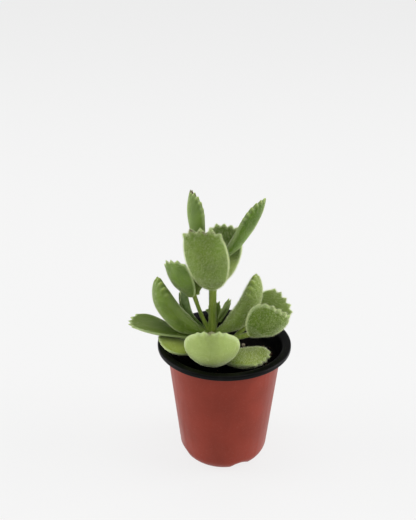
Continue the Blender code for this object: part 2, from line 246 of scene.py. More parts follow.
def makeLight():
    world = bpy.data.worlds.new("studio")
    world.use_nodes = True
    sky = world.node_tree.nodes["Background"]
    sky.inputs["Color"].default_value = (*studio["skyColour"], 1.0)
    sky.inputs["Strength"].default_value = studio["skyLight"]
    bpy.context.scene.world = world
    for name, place, target, width, height, watts in studio["boxes"]:
        data = bpy.data.lights.new(name, "AREA")
        data.shape = "RECTANGLE"
        data.size, data.size_y = width, height
        data.energy = watts
        lamp = bpy.data.objects.new(name, data)
        lamp.location = place
        lamp.visible_camera = False
        lamp.rotation_euler = (Vector(target) - Vector(place)).to_track_quat("-Z", "Y").to_euler()
        bpy.context.scene.collection.objects.link(lamp)
    bpy.context.scene.view_settings.view_transform = "Standard"
    bpy.context.scene.view_settings.look = "None"


makeCamera()
makeFloor()
makeLight()
print("camera, floor and light are set")


# Pot: one thin shell, terracotta outside, black rim and inside

pot = {
    "height": 88.0, "rimRadius": 45.0, "mouthRadius": 40.7, "topRadius": 39.6, "footRadius": 29.4,
    "wall": 0.8, "corner": 11.0, "cornerSteps": 14, "sides": 144, "smoothAngle": 40,
    "floorRings": (0.0, 3.5, 7.0, 10.0, 13.0, 14.5, 16.0), "wallRings": (30.0, 50.0, 66.0),
    "stepDrop": 7.0, "stepDepth": 0.35, "stepFade": 1.0, "stepLedge": 0.6,
    "stepBend": ((-0.21, 0.3), (0.0, 1.0), (0.1, 3.0)),  # off the wall, above the step
    "mouthBend": ((-2.3, -2.4), (-1.5, -1.2), (-0.9, -0.5), (-0.3, -0.14), (0.4, 0.0)),  # off the mouth and top
    "lipFlat": 2.2, "lipRound": 1.2, "lipRoundStart": 88, "lipRoundSteps": 7, "lipDrop": 2.0,
    "lipHeight": 3.0, "lipEdge": 0.35, "lipEdgeSteps": 3,
    "lipUnder": ((-0.9, -3.0), (-1.1, -2.8), (-1.1, -2.0), (-1.6, -1.5)),  # off the rim and top
    "mouthUnder": ((0.2, -1.3), (-0.6, -2.1)),  # off the mouth and top
    "channelAngles": (-155.0, -65.0, 25.0, 115.0), "channelDepth": 2.7, "channelHalfWidth": 6.5,
    "channelStart": 13.0, "channelSlope": 5.0,
    "drainRadius": 3.2, "drainDistance": 20.0, "drainSides": 40, "drillLength": 12.0,
    "terracotta": (0.280, 0.033, 0.015), "terracottaDeep": (0.240, 0.028, 0.012),
    "cloud": (45.0, 3.0, 0.5, 0.35, 0.65),  # a pattern's scale, detail, roughness and smooth step
    "fleckColour": (0.45, 0.14, 0.10), "flecks": (900.0, 4.0, 0.7, 0.52, 0.75), "fleckShare": 0.18,
    "scuffs": (320.0, 4.0, 0.6), "scuffStretch": (1.0, 1.0, 0.08), "scuffGloss": (0.3, 0.75, 0.34, 0.52),
    "grain": (1400.0, 2.0), "grainShare": 0.5, "bump": (0.00004, 0.5),
    "black": (0.0020, 0.0020, 0.0022), "blackDust": (0.0065, 0.0065, 0.0062),
    "dust": (260.0, 5.0, 0.65, 0.5, 0.8), "blackGloss": (120.0, 3.0, 0.5, 0.3, 0.7, 0.30, 0.44),
    "blackGrain": (1100.0, 3.0), "blackBump": (0.00005, 0.5),
}


def wallRadius(height):
    return pot["footRadius"] + (pot["topRadius"] - pot["footRadius"]) * height / pot["height"]


def arc(radius, height, turn, start, end, steps):  # points on a round edge, angles in degrees
    for step in range(steps + 1):
        angle = math.radians(start + (end - start) * step / steps)
        yield (radius + turn * math.cos(angle), height + turn * math.sin(angle))


def potProfile():  # (radius, height) from the inside of the floor, over the lip, to the underside
    slope = math.atan((pot["topRadius"] - pot["footRadius"]) / pot["height"])
    corner, wall, depth = pot["corner"], pot["wall"], pot["stepDepth"]
    top, rim, mouth = pot["height"], pot["rimRadius"], pot["mouthRadius"]
    step = top - pot["stepDrop"]
    cornerRadius = wallRadius(corner) - corner / math.cos(slope)

    def cornerArc(turn):
        return list(arc(cornerRadius, corner, turn, -90, -math.degrees(slope), pot["cornerSteps"]))

    def near(radius, height, offsets):
        return [(radius + across, height + up) for across, up in offsets]

    bend = near(wallRadius(step), step, pot["stepBend"])
    inside = [(radius, wall) for radius in pot["floorRings"]] + cornerArc(corner - wall)
    inside += [(wallRadius(height) - wall - depth, height)
               for height in (*pot["wallRings"], step - pot["stepFade"])]
    inside += [(radius - wall, height) for radius, height in bend]
    lip = near(mouth, top, pot["mouthBend"]) + [(rim - pot["lipFlat"], top)]
    lip += arc(rim - pot["lipRound"], top - pot["lipRound"], pot["lipRound"], pot["lipRoundStart"], 0,
               pot["lipRoundSteps"])
    lip += [(rim, top - pot["lipDrop"])]
    lip += arc(rim - pot["lipEdge"], top - pot["lipHeight"] + pot["lipEdge"], pot["lipEdge"], 0, -90,
               pot["lipEdgeSteps"])
    lip += near(rim, top, pot["lipUnder"]) + near(mouth, top, pot["mouthUnder"])
    outside = bend[::-1] + [(wallRadius(step) - depth, step - pot["stepLedge"])]
    outside += [(wallRadius(height) - depth * (height - corner) / (step - corner), height)
                for height in pot["wallRings"][::-1]]
    outside += cornerArc(corner)[::-1] + [(radius, 0.0) for radius in pot["floorRings"][::-1]]
    return inside + lip + outside


def channelLift(x, y):  # how far, from 0 to 1, a drain channel presses the floor up
    lift = 0.0
    for angle in map(math.radians, pot["channelAngles"]):
        along = x * math.cos(angle) + y * math.sin(angle)
        across = abs(y * math.cos(angle) - x * math.sin(angle))
        side = max(1.0 - (across / pot["channelHalfWidth"]) ** 2, 0.0)
        lift = max(lift, side * easeIn(along, pot["channelStart"], pot["channelSlope"]))
    return lift


def spinProfile(shape, profile, sides):
    points = [shape.verts.new((radius * mm, 0.0, height * mm)) for radius, height in profile]
    edges = [shape.edges.new(pair) for pair in zip(points, points[1:])]
    bmesh.ops.spin(shape, geom=points + edges, cent=(0, 0, 0), axis=(0, 0, 1), angle=math.tau, steps=sides,
                   use_merge=True)
    bmesh.ops.remove_doubles(shape, verts=shape.verts, dist=0.00001)
    bmesh.ops.recalc_face_normals(shape, faces=shape.faces)
    fixOrder(shape)


def makePotMaterials():
    outer, tree, shader = startMaterial("terracottaPlastic", {
        "Specular IOR Level": 0.10, "Coat Weight": 0.18, "Coat Roughness": 0.28})
    place = objectPlace(tree)
    colour = mixColours(tree, pattern(tree, place, *pot["cloud"]), pot["terracottaDeep"], pot["terracotta"])
    flecks = times(tree, pattern(tree, place, *pot["flecks"]), pot["fleckShare"])
    tree.links.new(mixColours(tree, flecks, colour, pot["fleckColour"]), shader.inputs["Base Color"])
    scuffs = speckle(tree, stretched(tree, place, pot["scuffStretch"]), *pot["scuffs"])
    tree.links.new(spread(tree, scuffs, *pot["scuffGloss"]), shader.inputs["Roughness"])
    grain = times(tree, speckle(tree, place, *pot["grain"]), pot["grainShare"])
    addBump(tree, shader, plus(tree, grain, scuffs), *pot["bump"])
    inner, tree, shader = startMaterial("blackPlastic", {"Specular IOR Level": 0.10})
    place = objectPlace(tree)
    colour = mixColours(tree, pattern(tree, place, *pot["dust"]), pot["black"], pot["blackDust"])
    tree.links.new(colour, shader.inputs["Base Color"])
    tree.links.new(pattern(tree, place, *pot["blackGloss"]), shader.inputs["Roughness"])
    addBump(tree, shader, speckle(tree, place, *pot["blackGrain"]), *pot["blackBump"])
    return outer, inner


def makePot():
    shape = bmesh.new()
    spinProfile(shape, potProfile(), pot["sides"])
    for vert in shape.verts:
        x, y, z = vert.co / mm
        fade = max(1.0 - z / pot["corner"], 0.0)
        vert.co.z += pot["channelDepth"] * channelLift(x, y) * fade * mm
    drills = bmesh.new()
    for angle in map(math.radians, pot["channelAngles"]):
        centre = Vector((math.cos(angle), math.sin(angle), 0.0)) * pot["drainDistance"] * mm
        radius = pot["drainRadius"] * mm
        bmesh.ops.create_cone(drills, cap_ends=True, segments=pot["drainSides"], radius1=radius, radius2=radius,
                              depth=pot["drillLength"] * mm, matrix=Matrix.Translation(centre))
    drill = bpy.data.objects.new("drill", meshOf(drills, "drill"))
    bpy.context.scene.collection.objects.link(drill)

    def addModifiers(holder):
        cut = holder.modifiers.new("drains", "BOOLEAN")
        cut.operation, cut.solver, cut.object = "DIFFERENCE", "EXACT", drill

    mesh = applyModifiers(meshOf(shape, "pot"), addModifiers)
    bpy.data.objects.remove(drill, do_unlink=True)
    mesh.materials.clear()
    for face in mesh.polygons:
        x, y, z = face.center / mm
        radius = math.hypot(x, y)
        facesOut = face.normal.x * x + face.normal.y * y > 0.0 and z > 1.0  # not the floor's upper side
        facesDown = face.normal.z < -0.5
        isRim = radius > pot["topRadius"] or z > pot["height"] - pot["lipHeight"]
        face.material_index = 0 if (facesOut or facesDown) and not isRim else 1
    finishPiece("potShell", mesh, "pot", makePotMaterials(), pot["smoothAngle"])


makePot()
print("pot is made")


# Soil: a dark peat surface with crumbs, bark bits and a few pale specks

soil = {
    "level": 74.0, "rings": 56, "sides": 150, "floor": 3.9, "gap": 0.35, "footRise": 1.0, "footRound": 9.0,
    "waves": ((0.07, 3.0, 1.6), (0.5, 9.0, 0.72), (1.3, 2.0, 0.45)),  # per mm, layer, height: lump, clod, crumb
    "scatter": (  # piece, count, least and most size, power, detail, stretch
        ("soilCrumbs", 1500, 0.35, 1.5, 2.5, 1, (1.0, 0.85, 0.7)),
        ("barkBits", 42, 1.2, 4.0, 2.5, 2, (0.45, 1.0, 0.22)),
        ("paleGrit", 16, 0.3, 0.9, 1.0, 2, (0.8, 1.0, 0.6)),
    ),
    "placed": {"paleGrit": ((13.5, 15.7, 3.0, 2.3), (-35.0, -3.0, 0.9, 0.8))},  # x, y, size, height above
    "edgeGap": 1.0, "lift": 0.12, "placedLift": 0.4, "placedTilt": 0.7, "placedTurn": 0.4, "seed": 4,
    "bitUneven": 0.45, "bitPitch": 3.1, "bitLayer": (4.0, 1.0, 7.0), "smoothAngle": 75,
    "peat": (0.0035, 0.0030, 0.0028), "peatLight": (0.011, 0.009, 0.007),
    "peatCrumbs": (700.0, 6.0, 0.7, 0.45, 0.75), "peatDullness": (300.0, 2.0, 0.5, 0.4, 0.6, 0.78, 0.98),
    "peatGrain": (1500.0, 5.0, 0.7), "peatBump": (0.0003, 0.9),
    "barkBits": {"sockets": {"Specular IOR Level": 0.3, "Roughness": 0.85}, "stretch": (1.0, 0.25, 1.0),
                 "colour": (0.15, 0.085, 0.045), "shade": 0.35, "cloud": (900.0, 4.0, 0.5, 0.35, 0.65),
                 "grain": (1600.0, 3.0), "bump": (0.0002, 0.8)},
    "paleGrit": {"sockets": {"Specular IOR Level": 0.4, "Roughness": 0.75}, "stretch": (1.0, 1.0, 1.0),
                 "colour": (0.50, 0.42, 0.30), "shade": 0.5, "cloud": (800.0, 3.0, 0.5, 0.4, 0.7),
                 "grain": (2000.0, 3.0), "bump": (0.0002, 0.7)},
}


def soilHeight(x, y):
    lump, clod, crumb = (height * noise.noise(Vector((x * pitch, y * pitch, layer)))
                         for pitch, layer, height in soil["waves"])
    return soil["level"] + lump + clod + abs(crumb)


def makePeat():
    peat, tree, shader = startMaterial("peat", {"Specular IOR Level": 0.04})
    place = objectPlace(tree)
    colour = mixColours(tree, pattern(tree, place, *soil["peatCrumbs"]), soil["peat"], soil["peatLight"])
    tree.links.new(colour, shader.inputs["Base Color"])
    tree.links.new(pattern(tree, place, *soil["peatDullness"]), shader.inputs["Roughness"])
    addBump(tree, shader, speckle(tree, place, *soil["peatGrain"]), *soil["peatBump"])
    return peat


def makeBitMaterial(name):
    look = soil[name]
    material, tree, shader = startMaterial(name, look["sockets"])
    place = stretched(tree, objectPlace(tree), look["stretch"])
    shade = tuple(part * look["shade"] for part in look["colour"])
    colour = mixColours(tree, pattern(tree, place, *look["cloud"]), shade, look["colour"])
    tree.links.new(colour, shader.inputs["Base Color"])
    addBump(tree, shader, speckle(tree, place, *look["grain"]), *look["bump"])
    return material


def roughLump(detail, stretch):  # an uneven crumb, about 1 across
    shape = bmesh.new()
    bmesh.ops.create_icosphere(shape, subdivisions=detail, radius=0.5)
    for vert in shape.verts:
        bulge = noise.noise(vert.co * soil["bitPitch"] + Vector(soil["bitLayer"]))
        vert.co *= 1.0 + soil["bitUneven"] * bulge
        vert.co *= Vector(stretch)
    return shape


def makeSoil():
    materials = {"soilCrumbs": makePeat(), "barkBits": makeBitMaterial("barkBits"),
                 "paleGrit": makeBitMaterial("paleGrit")}
    reach = wallRadius(soil["level"]) - pot["wall"] - pot["stepDepth"] - soil["gap"]
    low = wallRadius(pot["corner"]) - pot["wall"] - 2 * soil["gap"]
    profile = [(reach * ring / soil["rings"], soil["level"]) for ring in range(soil["rings"] + 1)]
    profile += [(low, pot["corner"] + soil["footRise"]), (low - soil["footRound"], soil["floor"]),
                (0.0, soil["floor"])]
    shape = bmesh.new()
    spinProfile(shape, profile, soil["sides"])
    for vert in shape.verts:
        if vert.co.z > (soil["level"] - 1.0) * mm:  # the top only
            vert.co.z = soilHeight(vert.co.x / mm, vert.co.y / mm) * mm
    finishPiece("soilBody", meshOf(shape, "soilBody"), "soil", [materials["soilCrumbs"]],
                soil["smoothAngle"])

    random = np.random.default_rng(soil["seed"])

    def scattered(count, low, high, power):
        angle = random.uniform(0, math.tau, count)
        radius = (reach - soil["edgeGap"]) * np.sqrt(random.uniform(0, 1, count))
        size = low + (high - low) * random.uniform(0, 1, count) ** power
        spots = np.stack([radius * np.cos(angle), radius * np.sin(angle)], axis=1)
        heights = np.array([soilHeight(x, y) for x, y in spots])
        places = np.column_stack([spots, heights + size * soil["lift"]]) * mm
        lean = random.normal(0, 1, (count, 3))
        return leanTurns(lean, random.uniform(0, math.tau, count), size * mm, size * mm), places

    for name, count, least, most, power, detail, stretch in soil["scatter"]:
        turns, places = scattered(count, least, most, power)
        for x, y, size, rise in soil["placed"].get(name, ()):
            turn = Matrix.Rotation(soil["placedTilt"], 3, "X") @ Matrix.Rotation(soil["placedTurn"], 3, "Z")
            turns = np.concatenate([turns, np.array(turn)[None] * size * mm])
            height = soilHeight(x, y) + rise * soil["placedLift"]
            places = np.concatenate([places, [[x * mm, y * mm, height * mm]]])
        bits = tileShape(name, roughLump(detail, stretch), turns, places)
        finishPiece(name, bits, "soil", [materials[name]], soil["smoothAngle"])


makeSoil()
print("soil is made")


# Stem and side shoots: tubes along paths, melted into one skin

stem = {
    "main": [(-6.0, 0.0, 56.0, 3.1), (-6.6, 0.0, 74.0, 3.0), (-7.8, 0.0, 86.0, 2.8), (-8.1, 0.0, 96.0, 2.7),
             (-8.0, 0.0, 112.0, 2.5), (-7.8, 0.0, 128.0, 2.5), (-7.8, 0.0, 145.0, 2.2), (-7.8, 0.0, 149.0, 1.4)],
    "shoots": {
        "mid": [(-8.2, -0.6, 94.0, 1.7), (-12.3, -0.8, 100.0, 1.5), (-17.0, 0.0, 112.0, 1.4),
                (-20.3, 0.8, 122.0, 1.6)],
        "side": [(-7.0, 0.0, 83.0, 2.0), (1.0, -1.5, 86.5, 1.8), (8.0, -2.6, 91.5, 1.7), (17.4, -7.7, 97.5, 1.8)],
        "sideBack": [(5.0, -2.0, 89.5, 1.5), (10.0, 0.0, 94.0, 1.5), (15.6, 3.3, 97.8, 1.6)],
        "back": [(-7.9, 1.0, 92.0, 1.4), (-6.6, 6.0, 94.5, 1.3), (-5.2, 9.5, 98.0, 1.6)],
    },
    "nodes": [(80.5, 0.5), (87.0, 0.5), (95.5, 0.6), (129.5, 0.45), (146.0, 0.4)],  # height, swelling
    "swellReach": 1.6, "mainSteps": 12, "sides": 24, "voxel": 0.42, "softness": 0.5, "softening": 8,
    "green": (0.200, 0.290, 0.032), "greenLight": (0.310, 0.390, 0.065), "brown": (0.10, 0.07, 0.025),
    "ringTone": 0.75, "ringReach": 1.3, "mainPlace": -8.0, "mainReach": 6.0,
    "earthTone": 0.55, "earthTop": 84.0, "earthFade": 8.0,
    "stretch": (1.0, 1.0, 0.15), "streaks": (700.0, 3.0, 0.5, 0.35, 0.65),
    "mottle": (500.0, 4.0, 0.7, 0.3, 0.6, 0.25, 1.0), "grain": (2200.0, 3.0), "bump": (0.0001, 0.6),
    "hairs": 3.5, "hairLength": 0.55, "seed": 9,
}


def roundedPath(points, steps=6):  # more points on a smooth curve through the given ones
    ends = [points[0]] + list(points) + [points[-1]]
    path = []
    for before, start, end, after in zip(ends, ends[1:], ends[2:], ends[3:]):
        for step in range(steps):
            t = step / steps
            path.append([0.5 * (2 * b + (c - a) * t + (2 * a - 5 * b + 4 * c - d) * t ** 2
                                + (3 * b - a - 3 * c + d) * t ** 3)
                         for a, b, c, d in zip(before, start, end, after)])
    return path + [list(points[-1])]


def addTube(shape, path, sides):
    places = [Vector(point[:3]) * mm for point in path]
    turn = None
    matrices = []
    for index, point in enumerate(path):
        ahead = places[min(index + 1, len(path) - 1)] - places[max(index - 1, 0)]
        if turn is None:
            turn = ahead.to_track_quat("Z", "X")
        else:
            turn = (turn @ Vector((0, 0, 1))).rotation_difference(ahead) @ turn
        matrices.append(Matrix.LocRotScale(places[index], turn, Vector((point[3] * mm,) * 3)))
    ring = bmesh.ops.create_circle(shape, cap_ends=True, segments=sides, radius=1.0, matrix=matrices[0])
    face = ring["verts"][0].link_faces[0]
    for before, after in zip(matrices, matrices[1:]):
        grown = bmesh.ops.extrude_face_region(shape, geom=[face])["geom"]
        face = next(item for item in grown if isinstance(item, bmesh.types.BMFace))
        bmesh.ops.transform(shape, matrix=after @ before.inverted(), verts=face.verts)
    bmesh.ops.recalc_face_normals(shape, faces=shape.faces)


def makeStemMaterial():
    skin, tree, shader = startMaterial("stemSkin", {
        "Roughness": 0.6, "Specular IOR Level": 0.3, "Sheen Weight": 0.25, "Sheen Roughness": 0.45,
        "Sheen Tint": (0.9, 0.95, 0.8, 1.0)})
    place = objectPlace(tree)
    drawn = stretched(tree, place, stem["stretch"])
    colour = mixColours(tree, pattern(tree, drawn, *stem["streaks"]), stem["green"], stem["greenLight"])
    tone = addNode(tree, "Attribute", attribute_name="stemTone").outputs["Fac"]
    brownish = times(tree, tone, pattern(tree, place, *stem["mottle"]))
    tree.links.new(mixColours(tree, brownish, colour, stem["brown"]), shader.inputs["Base Color"])
    addBump(tree, shader, speckle(tree, drawn, *stem["grain"]), *stem["bump"])
    return skin


def makeStem(hairMaterial):
    shape = bmesh.new()
    main = roundedPath(stem["main"], stem["mainSteps"])
    for point in main:
        for height, swell in stem["nodes"]:
            point[3] += swell * math.exp(-((point[2] - height) / stem["swellReach"]) ** 2)
    addTube(shape, main, stem["sides"])
    for path in stem["shoots"].values():
        addTube(shape, roundedPath(path), stem["sides"])

    def addModifiers(holder):
        melt = holder.modifiers.new("melt", "REMESH")
        melt.mode, melt.voxel_size = "VOXEL", stem["voxel"] * mm
        soften = holder.modifiers.new("soften", "SMOOTH")
        soften.factor, soften.iterations = stem["softness"], stem["softening"]

    mesh = applyModifiers(meshOf(shape, "stemSkin"), addModifiers)
    points = meshArrays(mesh)[0] / mm
    heights = points[:, 2]
    closeness = np.max([np.exp(-((heights - height) / stem["ringReach"]) ** 2) for height, swell in stem["nodes"]],
                       axis=0)
    onMain = np.exp(-((points[:, 0] - stem["mainPlace"]) / stem["mainReach"]) ** 4)
    low = np.clip((stem["earthTop"] - heights) / stem["earthFade"], 0.0, 1.0)
    brown = np.minimum(stem["ringTone"] * closeness * onMain + stem["earthTone"] * low, 1.0)
    tones = mesh.attributes.new("stemTone", "FLOAT", "POINT")
    tones.data.foreach_set("value", brown.astype(np.float32))
    finishPiece("stemSkin", mesh, "stem", [makeStemMaterial()], 0)
    addHairs("stemFuzz", mesh, "stem", hairMaterial, stem["hairs"], stem["hairLength"], stem["seed"])
    print("stem is made,", len(mesh.polygons), "faces")


# Hairs: fine pale spikes standing on a skin

hairs = {
    "width": 0.100, "lean": 0.18, "spread": 0.35, "middle": 0.42,
    "lengths": (0.55, 1.25), "widths": (0.7, 1.2), "firstSeed": 20,  # least and most, as shares
    "colour": (0.84, 0.94, 0.46), "paleColour": (0.96, 0.99, 0.70),
    "tint": (600.0, 2.0, 0.5, 0.35, 0.65), "dullness": (1500.0, 2.0, 0.5, 0.3, 0.7, 0.45, 0.7),
}


def makeHairMaterial():
    fuzz, tree, shader = startMaterial("paleHair", {
        "Roughness": 0.55, "Specular IOR Level": 0.3, "Sheen Weight": 0.2, "Sheen Roughness": 0.4})
    place = objectPlace(tree)
    colour = mixColours(tree, pattern(tree, place, *hairs["tint"]), hairs["colour"], hairs["paleColour"])
    tree.links.new(colour, shader.inputs["Base Color"])
    tree.links.new(pattern(tree, place, *hairs["dullness"]), shader.inputs["Roughness"])
    return fuzz


def addHairs(name, mesh, node, material, density, length, seed, weights=None):
    random = np.random.default_rng(seed)
    points, normals, corners = meshArrays(mesh)
    first, second, third = (points[corners[:, k]] for k in range(3))
    areas = np.linalg.norm(np.cross(second - first, third - first), axis=1) / 2
    chance = areas if weights is None else areas * weights[corners].mean(axis=1)
    count = int(density * chance.sum() / mm ** 2)
    chosen = random.choice(len(corners), count, p=chance / chance.sum())
    a, b = random.uniform(0, 1, (2, count))
    a, b = np.where(a + b > 1, 1 - a, a), np.where(a + b > 1, 1 - b, b)
    shares = np.stack([1 - a - b, a, b], axis=1)
    roots = np.einsum("ck,cki->ci", shares, points[corners[chosen]])
    out = np.einsum("ck,cki->ci", shares, normals[corners[chosen]])
    out /= np.linalg.norm(out, axis=1, keepdims=True)
    upwards = np.array([0.0, 0.0, hairs["lean"]])
    direction = out + upwards + random.normal(0, hairs["spread"], (count, 3))
    spike = bmesh.new()
    bmesh.ops.create_cone(spike, cap_ends=True, segments=3, radius1=1.0, radius2=0.0, depth=1.0,
                          matrix=Matrix.Translation((0, 0, hairs["middle"])))
    bmesh.ops.remove_doubles(spike, verts=spike.verts, dist=0.001)
    lengths = length * mm * random.uniform(*hairs["lengths"], count)
    widths = hairs["width"] / 2 * mm * random.uniform(*hairs["widths"], count)
    turns = leanTurns(direction, random.uniform(0, math.tau, count), widths, lengths)
    fuzz = tileShape(name, spike, turns, roots)
    finishPiece(name, fuzz, node, [material], 0)
    return count


# Leaves: thick paddles with a toothed end, in the same places as the CAD solids

leafCommon = {
    "bend": 0.0, "twist": 0.0, "sway": 0.0, "cup": 0.2, "under": 5.5, "upper": 3.5, "blunt": 0.45, "taper": 1.1,
    "stalkWidth": 2.2, "stalkDepth": 1.6, "stalkStart": 0.02, "footReach": 1.1, "footPower": 14,
    "thickFrom": 0.35, "thickPower": 0.8, "tipPower": 5, "tipRound": 0.6, "middle": 0.58,
    "teeth": 5, "tooth": 2.2, "toothPitch": 2.3, "toothPower": 1.2, "toothFade": 0.6, "toothReach": 14,
    "ridge": 0.24, "ridgeStart": 0.88, "ridgeRun": 0.10, "ridgeLevel": 0.35, "ridgeEnd": 12,
    # rim, rimStart and rimRun: strength and width of a pale band painted along the margin, partly painted sheen of
    # the hairs, partly the paler colour of denser margin hair
    "rim": 1.0, "rimStart": 0.945, "rimRun": 0.045, "sides": 208, "rings": 26,
    "swells": ((0.12, 0.30), (0.5, 0.07)), "swellEnd": 6,  # per mm, height
    "frost": 0.25, "yellow": 0.2, "brown": 0.3, "paleFoot": 0.0,
    "hairs": 4.2, "hairLength": 1.15, "rimHairs": 2.5,
}
smallLeaf = {"toothPitch": 1.5, "sides": 120, "rings": 20, "ridge": 0.25, "footReach": 0.8, "hairLength": 0.5}

leaves = {
    "leaf_top_left": {"foot": (-10.6, 1.4, 146.0), "heading": 186, "rise": 67, "length": 47, "halfWidth": 11.5,
                      "bend": 22, "twist": 16, "cup": 0.3, "teeth": 11, "under": 4.5, "upper": 3.0,
                      "toothPitch": 1.9, "ridge": 0.06, "frost": 0.1, "yellow": 0.05, "brown": 1.0, "rim": 0.5},
    "leaf_top_right": {"foot": (-5.3, 0.0, 146.0), "heading": -12, "rise": 48, "length": 52, "halfWidth": 11.0,
                       "bend": 18, "twist": -14, "cup": 0.3, "teeth": 13, "under": 4.5, "upper": 3.0,
                       "toothPitch": 1.9, "ridge": 0.06, "frost": 0.0, "yellow": 0.0, "rim": 0.4},
    "leaf_top_front": {"foot": (-8.5, -3.2, 129.0), "heading": -99.5, "rise": 58.5, "length": 44.3,
                       "halfWidth": 13.6, "bend": 35, "cup": 0.25, "blunt": 0.24, "taper": 0.42,
                       "sway": -3.8, "twist": 4, "brown": 1.0, "tooth": 3.4, "toothPitch": 2.9},
    "leaf_top_back": {"foot": (-6.4, 2.8, 129.0), "heading": 66, "rise": 58, "length": 38.0, "halfWidth": 13.5,
                      "bend": 20, "teeth": 6, "blunt": 0.3, "taper": 0.5, "sway": -2.0, "yellow": 0.0,
                      "tooth": 2.6, "paleFoot": 0.9},
    "leaf_mid_left": {"foot": (-22.1, 0.5, 121.5), "heading": -166, "rise": 56, "length": 26.5,
                      "halfWidth": 12.3, "bend": 20, "under": 3.5, "upper": 2.5, "blunt": 0.3, "taper": 0.5,
                      "sway": -1, "twist": 34, "toothPitch": 2.7, "ridge": 0.12, "frost": 0.1, "yellow": 0.0},
    "leaf_mid_right": {**smallLeaf, "foot": (-18.9, 2.2, 122.0), "heading": 78, "rise": 76, "length": 15,
                       "halfWidth": 6.5, "bend": -14, "under": 3.5, "upper": 2.2},
    "leaf_left": {"foot": (-11.35, -0.9, 95.0), "heading": 191, "rise": 18, "length": 51.5, "halfWidth": 12.0,
                  "bend": 68, "twist": 30, "cup": 0.0, "under": 8.2, "upper": 5.8, "taper": 0.9, "frost": 0.05,
                  "teeth": 9, "ridge": 0.05, "rim": 0.12},
    "leaf_right": {"foot": (-5.1, -0.4, 95.0), "heading": -8, "rise": 27, "length": 48.5, "halfWidth": 10.5,
                   "bend": 66, "twist": -28, "cup": 0.0, "under": 7.0, "upper": 6.0, "taper": 0.9,
                   "frost": 0.35, "yellow": 0.4, "teeth": 9, "ridge": 0.05, "rim": 0.12},
    "leaf_front": {"foot": (-7.8, -3.2, 86.0), "heading": -90, "rise": -9, "length": 51.5, "halfWidth": 17.8,
                   "bend": 98, "cup": 0.62, "under": 7.2, "upper": 3.6, "blunt": 0.42, "taper": 0.55,
                   "tooth": 1.4, "ridge": 0.15, "frost": 1.0, "yellow": 0.3, "brown": 0.8, "hairs": 4.6},
    "leaf_back": {"foot": (-9.8, 3.1, 91.0), "heading": 159, "rise": 22, "length": 38, "halfWidth": 5.6,
                  "bend": 66, "under": 2.6, "upper": 2.0, "taper": 2.1, "frost": 0.0, "yellow": 0.0},
    "leaf_low_left": {"foot": (-11.0, -1.0, 87.3), "heading": 178, "rise": 18.0, "length": 53.5,
                      "halfWidth": 11.3, "bend": -6, "taper": 1.8, "stalkWidth": 1.9, "under": 2.8,
                      "upper": 2.8, "frost": 0.1},
    "leaf_foot_left": {"foot": (-9.85, -1.8, 81.8), "heading": 196, "rise": 12, "length": 36.0,
                       "halfWidth": 13.4, "bend": 14, "taper": 1.4, "tooth": 1.0, "under": 3.4, "upper": 2.0,
                       "cup": 0.05, "ridge": 0.06, "yellow": 1.0},
    "leaf_foot_right": {"foot": (-4.7, -2.4, 79.5), "heading": -32, "rise": 6, "length": 36.5,
                        "halfWidth": 13.5, "bend": 8, "taper": 0.9, "blunt": 0.35, "under": 4.5, "ridge": 0.1,
                        "frost": 0.50, "yellow": 1.0},
    "leaf_side_front": {"foot": (18.0, -8.3, 97.4), "heading": -14, "rise": 46, "length": 27.0,
                        "halfWidth": 16.0, "sway": -3, "bend": -4, "twist": -56, "taper": 0.6, "blunt": 0.32,
                        "upper": 3.0, "frost": 0.1, "ridge": 0.08, "tooth": 3.0, "toothPitch": 2.6, "hairs": 3.4},
    "leaf_side_back": {"foot": (16.5, 4.0, 97.2), "heading": 21, "rise": 31, "length": 29.5, "halfWidth": 12.6,
                       "bend": -4, "twist": 50, "taper": 0.7, "blunt": 0.35, "upper": 3.0, "frost": 0.35,
                       "tooth": 2.6, "paleFoot": 0.3},
    "leaf_shoot_right": {**smallLeaf, "foot": (-3.7, 9.8, 98.0), "heading": 10, "rise": 62, "length": 15.5,
                         "halfWidth": 4.5, "under": 2.0, "upper": 1.4, "teeth": 3},
    "leaf_shoot_front": {**smallLeaf, "foot": (-6.7, 7.1, 98.85), "heading": -60, "rise": 86, "length": 14,
                         "halfWidth": 4.0, "under": 2.0, "upper": 1.4, "teeth": 3},
    "leaf_shoot_back": {**smallLeaf, "foot": (-6.3, 10.9, 96.6), "heading": 96, "rise": 46, "length": 10.0,
                        "halfWidth": 5.0, "under": 2.2, "upper": 1.5},
    "leaf_bud_front": {**smallLeaf, "foot": (-7.8, -1.9, 149.0), "heading": -90, "rise": 70, "length": 10,
                       "halfWidth": 3.4, "bend": 20, "under": 1.4, "upper": 0.9, "teeth": 3, "tooth": 0.8,
                       "stalkWidth": 1.3, "stalkDepth": 0.9},
    "leaf_bud_back": {**smallLeaf, "foot": (-7.8, 1.9, 149.0), "heading": 90, "rise": 70, "length": 10,
                      "halfWidth": 3.4, "bend": 20, "under": 1.4, "upper": 0.9, "teeth": 3, "tooth": 0.8,
                      "stalkWidth": 1.3, "stalkDepth": 0.9},
}

